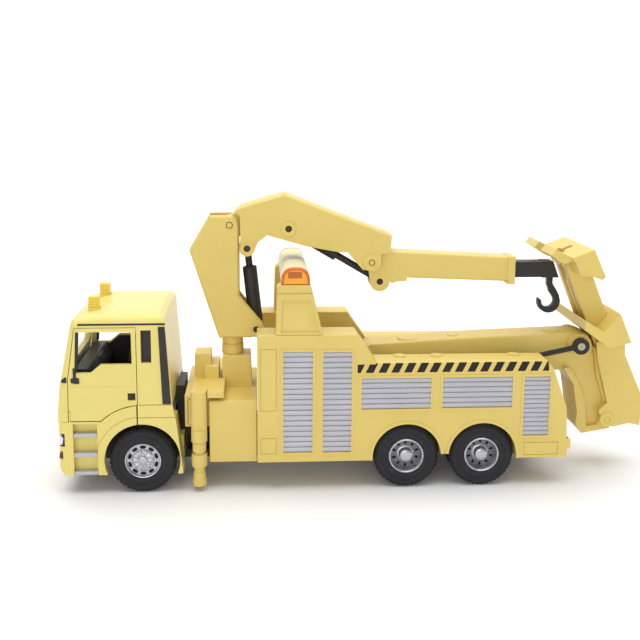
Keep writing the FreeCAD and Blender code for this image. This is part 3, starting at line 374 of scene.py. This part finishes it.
def lugs(step, radius, y):
    """Cross grooves: every third step of the shoulder and tread sits a little lower."""
    return (radius - LUG_DEPTH if radius > LUG_START and step % LUG_EVERY == 0 else radius), y


def tyre(node, x, side, widths):
    made = bmesh.new()
    for inner, outer in widths:
        turned(made, tyre_profile(inner, outer), x, AXLE_HEIGHT, side, TYRE_STEPS, lugs, closed=True)
    show(node + "_rubber", made, BODY_OF[node], "tyre", None, (node,), 50.0)


def pierced(made, x, side, inner_radius, outer_radius, y, depth, open_share):
    """A flat ring with a circle of windows, each with walls down to a depth."""
    steps_each = RIM_STEPS // WINDOWS
    half = steps_each * open_share / 2
    middle = (inner_radius + outer_radius) / 2
    reach = (outer_radius - inner_radius) * WINDOW_REACH
    core = reach * WINDOW_CORE
    radii = [inner_radius, middle - reach, middle - core, middle + core, middle + reach, outer_radius]

    def is_open(row, step):
        away = abs((step % steps_each) + 0.5 - steps_each / 2)
        return (row == 2 and away < half) or (row in (1, 3) and away < half - WINDOW_CORNER)

    def point(row, step, across):
        angle = 2 * math.pi * step / RIM_STEPS
        radius = radii[row]
        return made.verts.new(((x + radius * math.cos(angle)) * MM, side * across * MM,
                               (AXLE_HEIGHT + radius * math.sin(angle)) * MM))

    for row in range(len(radii) - 1):
        for step in range(RIM_STEPS):
            cell = ((row, step), (row, step + 1), (row + 1, step + 1), (row + 1, step))
            if not is_open(row, step):
                made.faces.new([point(*corner, y) for corner in cell])
                continue
            beside = ((row - 1, step), (row, (step + 1) % RIM_STEPS), (row + 1, step),
                      (row, (step - 1) % RIM_STEPS))
            for neighbour, first, second in zip(beside, cell, cell[1:] + cell[:1]):
                if not is_open(*neighbour):
                    made.faces.new([point(*first, y), point(*second, y), point(*second, y - depth),
                                    point(*first, y - depth)])


def rim_back(made, x, side, inside, bore_end):
    """The rim's flat inner face, with the blind bore for the axle."""
    turned(made, [(RIM_RADIUS, inside), (BORE_RADIUS, inside), (BORE_RADIUS, bore_end), (0, bore_end)],
           x, AXLE_HEIGHT, side, RIM_STEPS)


def brake_disc(node, x, side, radius, outside, inside):
    made = bmesh.new()
    turned(made, [(0, outside), (radius, outside), (radius, inside), (0, inside)], x, AXLE_HEIGHT, side,
           DISC_STEPS)
    show(node + "_brake_disc", made, BODY_OF[node], "black_plastic")


def front_ribs(step, radius, y):
    """Ten low ribs on the domed centre of a front rim."""
    swell = 0.16 * math.cos(WINDOWS * 2 * math.pi * step / RIM_STEPS) if 1.9 < radius < 4.2 else 0.0
    return radius, y + swell


def front_rim(node, x, side):
    """Bright rolled lip, a ring of ten dark slots and a domed centre with low ribs."""
    made = bmesh.new()
    turned(made, [(RIM_RADIUS, 17.2), (RIM_RADIUS, 22.8), (6.6, 23.15), (6.35, 23.3), (6.1, 23.2),
                  (5.98, 22.8), (5.95, 22.3)], x, AXLE_HEIGHT, side, RIM_STEPS)
    pierced(made, x, side, 4.15, 5.95, 22.3, 1.4, 0.62)
    turned(made, [(4.15, 22.3), (4.1, 22.55), (3.8, 22.8), (3.0, 23.0), (2.2, 23.05), (1.75, 22.95),
                  (1.65, 23.2), (1.4, 23.35), (0.7, 23.42), (0, 23.45)],
           x, AXLE_HEIGHT, side, RIM_STEPS, front_ribs)
    rim_back(made, x, side, 17.2, 20.0)
    show(node + "_plated", made, BODY_OF[node], "silver_rim", None, (node,), 35.0)
    brake_disc(node, x, side, 6.2, 20.85, 20.5)


def rear_rim(node, x, side):
    """Deep dish with a wide lip, ten small hand holes and a long bright hub."""
    made = bmesh.new()
    turned(made, [(RIM_RADIUS, 11.0), (RIM_RADIUS, 22.7), (6.62, 23.1), (6.4, 23.3), (6.1, 23.3),
                  (5.9, 23.1), (5.75, 22.5), (5.6, 21.4), (5.5, 20.3)], x, AXLE_HEIGHT, side, RIM_STEPS)
    turned(made, [(3.4, 20.3), (3.1, 20.6), (2.6, 20.7), (2.45, 21.0), (2.4, 22.3), (2.2, 22.75),
                  (1.8, 22.95), (1.0, 23.05), (0, 23.1)], x, AXLE_HEIGHT, side, RIM_STEPS)
    rim_back(made, x, side, 11.0, 13.0)
    show(node + "_plated", made, BODY_OF[node], "silver_rim", None, (node,), 35.0)
    dish = bmesh.new()
    pierced(dish, x, side, 3.4, 5.5, 20.3, 1.2, 0.34)
    show(node + "_dish", dish, BODY_OF[node], "silver_rim", DISH, (), 35.0)
    brake_disc(node, x, side, 5.4, 19.05, 18.8)


for axle, x in WHEELS:
    for name, side in SIDES:
        stem = "%s_%s" % (axle, name)
        if axle == "front":
            tyre(stem + "_tyre", x, side, [(OUTER - FRONT_WIDTH, OUTER)])
            front_rim(stem + "_rim", x, side)
        else:
            second = OUTER - REAR_WIDTH - TWIN_GAP
            tyre(stem + "_tyre", x, side, [(OUTER - REAR_WIDTH, OUTER), (second - REAR_WIDTH, second)])
            rear_rim(stem + "_rim", x, side)


# ---------------------------------------------------------------- cab trim

def mirror(name, side):
    """The window's dark front edge, the mirror's foot on it and the arm's end; a second foot on the cab."""
    edge = [(-104.55, 61.2), (-103.1, 61.2), (-103.9, 46.6), (-105.15, 46.6)]
    foot = [(-105.45, 48.0), (-104.25, 48.0), (-104.35, 44.3), (-105.4, 44.3)]
    end = [(-106.3, 44.1), (-104.5, 44.6), (-103.3, 44.2), (-103.2, 42.25), (-104.6, 42.2), (-106.2, 42.6)]
    plates(name + "_mirror_arm", name + "_door", side,
           [(edge, 22.7, 23.75), (foot, 23.3, 24.28), (end, 23.8, 24.45)], 0.15)
    corner = [(-109.7, 43.5), (-108.5, 44.6), (-107.75, 44.5), (-107.75, 42.5), (-109.6, 42.7)]
    plates(name + "_mirror_foot", "truck", side, [(corner, 23.2, 24.3)], 0.15)


def door_trim(name, side):
    """Door pull outside, dark card and rear window edge inside."""
    plates(name + "_door_pull", name + "_door", side,
           [(rectangle(-86.15, 35.75, -83.45, 38.35), 23.6, 23.85),
            (rectangle(-85.9, 37.3, -83.7, 38.2), 23.75, 24.12)], 0.12)
    card = [(-106.5, 29.6), (-106.7, 45.3), (-99.3, 45.4), (-95.6, 48.5), (-83.7, 48.5), (-83.7, 34.9),
            (-90, 33.1), (-97, 29.6)]
    edge = [(-84.35, 48.0), (-83.5, 48.0), (-83.5, 62.0), (-84.4, 62.0)]
    plates(name + "_door_card", name + "_door", side, [(card, 21.9, 22.44), (edge, 22.1, 22.44)], 0.12)


def cab_side_trim(name, side):
    """Rain gutter above the door, and a dark sheet in the sleeper's window opening, painted shade for the
    dark inside of the cab.
    """
    gutter = [(-103.3, 63.6), (-72.25, 63.6), (-72.3, 64.2), (-103.1, 64.2)]
    plates(name + "_gutter", "truck", side, [(gutter, 23.6, 23.97)], 0)
    # painted shade: a dark sheet over the sleeper's glass stands for the shaded inside
    plates(name + "_bunk_shade_sheet", "truck", side, [(rectangle(-82.3, 48.6, -76.3, 62.3), 21.9, 22.3)], 0.1)


def lamp(name, side):
    """Head lamp: dark bowl and bright reflector. Fog lamp below it."""
    bowl = [(-110.9, 18.7), (-109.3, 18.7), (-109.3, 23.3), (-110.2, 23.3)]
    plates(name + "_lamp_bowl", "truck", side, [(bowl, 19.95, 23.75)], 0.15)
    shine = [(-111.2, 19.2), (-110.0, 19.2), (-109.6, 21.8), (-110.3, 22.9), (-110.9, 22.9)]
    plates(name + "_lamp_reflector", "truck", side, [(shine, 20.3, 23.95)], 0.3, "silver_rim", REFLECTOR)
    fog = [(-111.5, 14.0), (-110.2, 14.0), (-110.1, 16.3), (-111.2, 16.3)]
    plates(name + "_fog_lens", "truck", side, [(fog, 20.2, 23.85)], 0.25, "clear_lamp", FOG)


for name, side in SIDES:
    mirror(name, side)
    door_trim(name, side)
    cab_side_trim(name, side)
for name, side in SIDES:
    lamp(name, side)


# ---------------------------------------------------------------- body trim

BODY_SIDE = 24.2
DECK_ROUND = 0.8
DECK_TOP = 48.7
# (x1, z1, x2, z2, slats) of each shutter, then (share of a slat's height, how far it stands out)
SHUTTERS = ((-29.9, 14.8, -19.1, 53.2, 19), (-15.3, 14.7, -4.8, 53.0, 19), (-1.1, 31.0, 24.7, 42.9, 6),
            (29.1, 31.1, 55.3, 42.9, 6), (59.7, 19.9, 69.5, 42.8, 13))
SHUTTER_DEPTH = 0.79
SLAT = ((0.0, -0.65), (0.05, -0.30), (0.14, -0.06), (0.32, 0.05), (0.60, 0.06), (0.82, -0.03),
        (0.95, -0.18), (1.0, -0.65))
STRIPE_LEVELS = (44.95, 46.4, 47.9, 48.15, 48.35, 48.5)
STRIPE_FIRST, STRIPE_LAST, STRIPE_PITCH = -2.7, 68.9, 4.72
STRIPE_WIDE, STRIPE_SLANT, STRIPE_OFFSET = 2.85, 1.7, 3.0
STRIPE_END_SLANT = 0.45
STRIPE_HEIGHT, STRIPE_THICK, STRIPE_LEAST = 0.05, 0.25, 0.3


def shutters(node, side):
    """Rolled slats: each one swells out and turns back in to a dark line at its foot."""
    made = bmesh.new()
    back = BODY_SIDE - SHUTTER_DEPTH
    for x1, z1, x2, z2, slats in SHUTTERS:
        pitch = (z2 - z1) / slats
        outline = [(BODY_SIDE + out, z1 + pitch * (k + share)) for k in range(slats) for share, out in SLAT]
        outline = [(back, z1)] + outline + [(back, z2)]
        rows = [[made.verts.new((x * MM, side * y * MM, z * MM)) for y, z in outline] for x in (x1, x2)]
        band(made, *rows)
        made.faces.new(rows[0])
        made.faces.new(rows[1])
    show(node + "_rolled", made, "truck", "shutter_silver", None, (node,), 50.0)


def stripe_rows(start):
    """The (low x, high x, y, z) of one slanted bar at each level, cut off at the ends of the row."""
    rows = []
    for z in STRIPE_LEVELS:
        share = (z - STRIPE_LEVELS[0]) / (STRIPE_LEVELS[-1] - STRIPE_LEVELS[0])
        lean = start + STRIPE_SLANT * share
        end = STRIPE_LAST - STRIPE_END_SLANT * share
        low = min(max(lean, STRIPE_FIRST), end)
        high = min(max(lean + STRIPE_WIDE, STRIPE_FIRST), end)
        above = max(z - DECK_TOP + DECK_ROUND, 0.0)
        drop = DECK_ROUND - math.sqrt(DECK_ROUND ** 2 - above ** 2)
        rows.append((low, high, BODY_SIDE + STRIPE_HEIGHT - drop, z))
    return rows


def hazard_stripes(name, side):
    """Slanted black bars along the top edge of the low lockers, following its round shoulder."""
    made = bmesh.new()

    def sheet(rows, inset):
        return [[made.verts.new((x * MM, side * (y - inset) * MM, z * MM)) for x in (low, high + 0.01)]
                for low, high, y, z in rows]

    for index in range(-1, 16):
        rows = stripe_rows(STRIPE_FIRST + STRIPE_OFFSET + index * STRIPE_PITCH)
        if max(high - low for low, high, y, z in rows) < STRIPE_LEAST:
            continue
        front = sheet(rows, 0.0)
        back = sheet(rows, STRIPE_THICK)
        for a, b, c, d in zip(front, front[1:], back, back[1:]):
            made.faces.new((a[0], a[1], b[1], b[0]))
            made.faces.new((c[0], d[0], d[1], c[1]))
            made.faces.new((a[0], b[0], d[0], c[0]))
            made.faces.new((a[1], c[1], d[1], b[1]))
        made.faces.new((front[0][0], back[0][0], back[0][1], front[0][1]))
        made.faces.new((front[-1][0], front[-1][1], back[-1][1], back[-1][0]))
    show(name, made, "truck", "black_plastic", DECAL, (), 60.0)


for name, side in SIDES:
    shutters(name + "_roller_shutters", side)
    hazard_stripes(name + "_hazard_stripes", side)

BAR_X, BAR_TOP, BAR_RADIUS, BAR_BASE = -25.4, 84.2, 5.2, 77.9
BAR_END, BAR_SEAM, SEAM_DEPTH = 21.6, (11.85, 12.25), 0.35
ARCH_STEPS, ARCH_FOOT, ARCH_POWER = 40, 0.6, 2 / 2.7
LENS_INNER, LENS_OUTER = 21.65, 24.15


def bar_outline(radius, base):
    """Section of the light bar: a flat foot, upright sides and a broad, squarish arch."""
    low = BAR_BASE + ARCH_FOOT
    rise = BAR_TOP - BAR_RADIUS + radius - low
    points = [(BAR_X + radius, base)]
    for k in range(ARCH_STEPS + 1):
        angle = math.pi * k / ARCH_STEPS
        along = math.cos(angle)
        points.append((BAR_X + radius * math.copysign(abs(along) ** ARCH_POWER, along),
                       low + rise * math.sin(angle) ** ARCH_POWER))
    return points + [(BAR_X - radius, base)]


def light_bar():
    """Cream cover with one seam, and an amber lens over a darker block at each end, with a bright amber core
    inside each lens: painted glow of light through the lens.
    """
    cover = bmesh.new()
    prism(cover, bar_outline(BAR_RADIUS, BAR_BASE), -BAR_END, BAR_SEAM[0])
    prism(cover, bar_outline(BAR_RADIUS - SEAM_DEPTH, BAR_BASE + 0.02), *BAR_SEAM)
    prism(cover, bar_outline(BAR_RADIUS, BAR_BASE), BAR_SEAM[1], BAR_END)
    bevelled(show("light_bar_cover", cover, "truck", "yellow_body", CREAM, ("light_bar",)), 0.3)
    block = [(BAR_X - 2.9, 80.2), (BAR_X - 2.9, 82.7), (BAR_X - 1.6, 82.9), (BAR_X + 1.6, 82.9),
             (BAR_X + 2.4, 82.6), (BAR_X + 2.4, 80.2)]
    glow = bar_outline(BAR_RADIUS - 0.9, BAR_BASE + 0.35)
    for name, side in SIDES:
        lens = bmesh.new()
        prism(lens, bar_outline(BAR_RADIUS, BAR_BASE), side * LENS_INNER, side * LENS_OUTER)
        replaced = ("light_bar_lenses",) if side < 0 else ()
        bevelled(show(name + "_bar_lens", lens, "truck", "amber_lens", None, replaced), 0.7, 3)
        # painted glow: bright amber core inside the lens
        plates(name + "_bar_painted_glow", "truck", side, [(glow, 21.7, 24.19)], 0.2, "amber_lens", AMBER_PAINTED_GLOW)
        plates(name + "_bar_block", "truck", side, [(block, 23.5, 24.2)], 0.15, "amber_lens", AMBER_DARK)


light_bar()


# ---------------------------------------------------------------- pivots

ROD_STEPS, ROD_CHAMFER = 28, 0.15


def on_both_sides(name, body, place, profile, count, slot="yellow_body", material=None, closed=False):
    """A small turned shape round an (x, z) place, on the left and on the right."""
    made = bmesh.new()
    for _, side in SIDES:
        turned(made, profile, *place, side, count, closed=closed)
    show(name, made, body, slot, material)


def cap(name, body, place, y, radius, slot="yellow_body", material=None):
    """A low round cap with a ring pressed into it."""
    profile = [(radius, y - 0.4), (radius, y + 0.02), (radius - 0.12, y + 0.12), (radius - 0.35, y + 0.12),
               (radius - 0.45, y), (radius - 0.7, y), (radius - 0.8, y + 0.1), (0, y + 0.1)]
    on_both_sides(name, body, place, profile, 48, slot, material)


def boss_ring(name, body, place, y, radius):
    """A thin raised ring round a pin hole."""
    profile = [(radius - 0.45, y - 0.2), (radius - 0.45, y + 0.05), (radius - 0.35, y + 0.16),
               (radius - 0.1, y + 0.16), (radius, y + 0.05), (radius, y - 0.2)]
    on_both_sides(name, body, place, profile, 64, closed=True)


def hole_shade_disc(name, body, place, y, radius):
    """A dark disc at the bottom of a pin hole: painted shade in the hole."""
    profile = [(radius, y - 0.3), (radius, y), (radius - 0.25, y + 0.06), (0, y + 0.06)]
    on_both_sides(name, body, place, profile, 40, "steel_pin", HOLE_SHADE)


def round_bar(name, body, slot, start, end, y, radius):
    """A round bar between two (x, z) points, on both sides."""
    made = bmesh.new()
    run = math.hypot(end[0] - start[0], end[1] - start[1])
    along = Vector(((end[0] - start[0]) / run, 0, (end[1] - start[1]) / run))
    rise = Vector((-along.z, 0, along.x))
    cut = ROD_CHAMFER / run
    small = radius - ROD_CHAMFER
    angles = [2 * math.pi * k / ROD_STEPS for k in range(ROD_STEPS)]
    for _, side in SIDES:
        rings = []
        for share, size in ((0, small), (cut, radius), (1 - cut, radius), (1, small)):
            middle = Vector((start[0], side * y, start[1])) + along * run * share
            ring = [middle + rise * size * math.cos(angle) + Vector((0, size * math.sin(angle), 0))
                    for angle in angles]
            rings.append([made.verts.new(point * MM) for point in ring])
        for low, high in zip(rings, rings[1:]):
            band(made, low, high)
        made.faces.new(rings[0])
        made.faces.new(rings[-1])
    show(name, made, body, slot)


def arm_tail_lip():
    """The turned-down lip under the arm's rear end."""
    made = bmesh.new()
    prism(made, [(12.6, 76.4), (13.0, 75.4), (13.4, 75.25), (17.95, 75.25), (17.95, 77.2), (12.6, 77.2)],
          -4.47, 4.47)
    bevelled(show("arm_tail_lip", made, "arm", "yellow_body"), 0.2)


cap("mast_pivot_caps", "slewing_mast", (-49.5, 97.3), 6.1, 1.7)
cap("arm_pivot_caps", "knuckle", (4.2, 83.0), 6.95, 1.6)
cap("upright_pin_caps", "underlift", (85.9, 50.1), 10.15, 1.5, "steel_pin", GREY)
cap("stinger_pivot_caps", "underlift", (97.5, 20.5), 10.25, 1.5)
boss_ring("lift_low_ring", "slewing_mast", (-39.6, 57.2), 6.0, 2.6)
boss_ring("lift_high_ring", "knuckle", (-43.0, 88.4), 6.5, 2.9)
boss_ring("fold_high_ring", "knuckle", (-27.4, 95.9), 6.5, 3.0)
round_bar("underlift_rod_sleeves", "underlift_rods", "black_plastic", (83.2, 49.5), (52.5, 43.2), 9.2,
          1.0)
arm_tail_lip()
for name, side in SIDES:
    hood = [(77.0, 14.35), (78.4, 14.35), (78.4, 18.25), (76.9, 18.25)]
    plates(name + "_tail_lamp_hood", "truck", side, [(hood, 23.45, 24.15)], 0.15, "yellow_body")
# painted shade at the bottom of the arm's ram pin hole
hole_shade_disc("arm_ram_pin_hole_shade", "arm", (7.6, 75.2), 4.5, 1.25)


# ---------------------------------------------------------------- camera, floor and light

CAMERA_PLACE = (-39.0, -348.5, 141.7)
CAMERA_YAW, CAMERA_PITCH, CAMERA_ROLL = 3.92, 9.38, -0.39
SENSOR_WIDTH, FOCAL_LENGTH, LENS_SHIFT = 36.0, 51.8175, -0.098
FLOOR_FRONT, FLOOR_BACK, FLOOR_HALF = -3.0, 1.2, 5
CURVE_RADIUS, CURVE_STEPS, BACKDROP_TOP = 1.2, 16, 4.0


def aim(yaw, pitch, roll):
    """The camera's turn from yaw towards +X, pitch below the horizon and roll, in degrees."""
    yaw, pitch, roll = (math.radians(angle) for angle in (yaw, pitch, roll))
    forward = Vector((math.sin(yaw) * math.cos(pitch), math.cos(yaw) * math.cos(pitch), -math.sin(pitch)))
    right = Vector((math.cos(yaw), -math.sin(yaw), 0))
    down = forward.cross(right)
    across = right * math.cos(roll) + down * math.sin(roll)
    lower = down * math.cos(roll) - right * math.sin(roll)
    return Matrix((across, -lower, -forward)).transposed().to_4x4()


def place_camera():
    lens = bpy.data.cameras.new("camera")
    lens.sensor_width = SENSOR_WIDTH
    lens.lens = FOCAL_LENGTH
    lens.shift_y = LENS_SHIFT
    lens.clip_start = 0.01
    lens.clip_end = 20
    camera = bpy.data.objects.new("camera", lens)
    bpy.context.scene.collection.objects.link(camera)
    turn = aim(CAMERA_YAW, CAMERA_PITCH, CAMERA_ROLL)
    camera.matrix_world = Matrix.Translation(Vector(CAMERA_PLACE) * MM) @ turn
    bpy.context.scene.camera = camera


def sweep_floor():
    """A pale floor that curves up into a backdrop far behind the truck."""
    made = bmesh.new()
    angles = [math.pi / 2 * k / CURVE_STEPS for k in range(1, CURVE_STEPS + 1)]
    path = [(FLOOR_FRONT, 0.0), (0.6, 0.0), (FLOOR_BACK, 0.0)]
    path += [(FLOOR_BACK + CURVE_RADIUS * math.sin(angle), CURVE_RADIUS - CURVE_RADIUS * math.cos(angle))
             for angle in angles]
    path += [(FLOOR_BACK + CURVE_RADIUS, BACKDROP_TOP)]
    rows = [[made.verts.new((x, y, z)) for x in (-FLOOR_HALF, FLOOR_HALF)] for y, z in path]
    for low, high in zip(rows, rows[1:]):
        made.faces.new((low[0], low[1], high[1], high[0]))
    mesh = bpy.data.meshes.new("floor")
    made.to_mesh(mesh)
    made.free()
    for face in mesh.polygons:
        face.use_smooth = True
    item = bpy.data.objects.new("floor", mesh)
    bpy.context.scene.collection.objects.link(item)
    mesh.materials.append(moulded("floor_white", (0.90, 0.90, 0.90), (0.885, 0.885, 0.888), rough=0.7,
                                  grain=40, bump=0.0, mottling=1.0, specular=0.2))


def area_light(name, place, target, size, power):
    light = bpy.data.lights.new(name, "AREA")
    light.shape = "RECTANGLE"
    light.size, light.size_y = size
    light.energy = power
    item = bpy.data.objects.new(name, light)
    item.location = place
    item.rotation_euler = (Vector(target) - Vector(place)).to_track_quat("-Z", "Y").to_euler()
    bpy.context.scene.collection.objects.link(item)


def studio_world():
    world = bpy.data.worlds.new("studio")
    world.use_nodes = True
    sky = world.node_tree.nodes["Background"]
    sky.inputs["Color"].default_value = (0.97, 0.97, 1.0, 1)
    sky.inputs["Strength"].default_value = 0.40
    bpy.context.scene.world = world


place_camera()
sweep_floor()
studio_world()
area_light("top", (0.0, 0.0, 1.3), (0, 0, 0), (1.6, 1.4), 19)
area_light("key", (-0.35, -1.3, 0.42), (0, 0, 0.04), (1.3, 0.6), 4.8)
area_light("backdrop_wash", (0.0, 1.2, 1.6), (0, 2.2, 0.3), (3.0, 1.0), 25)
bpy.context.scene.view_settings.view_transform = "Standard"
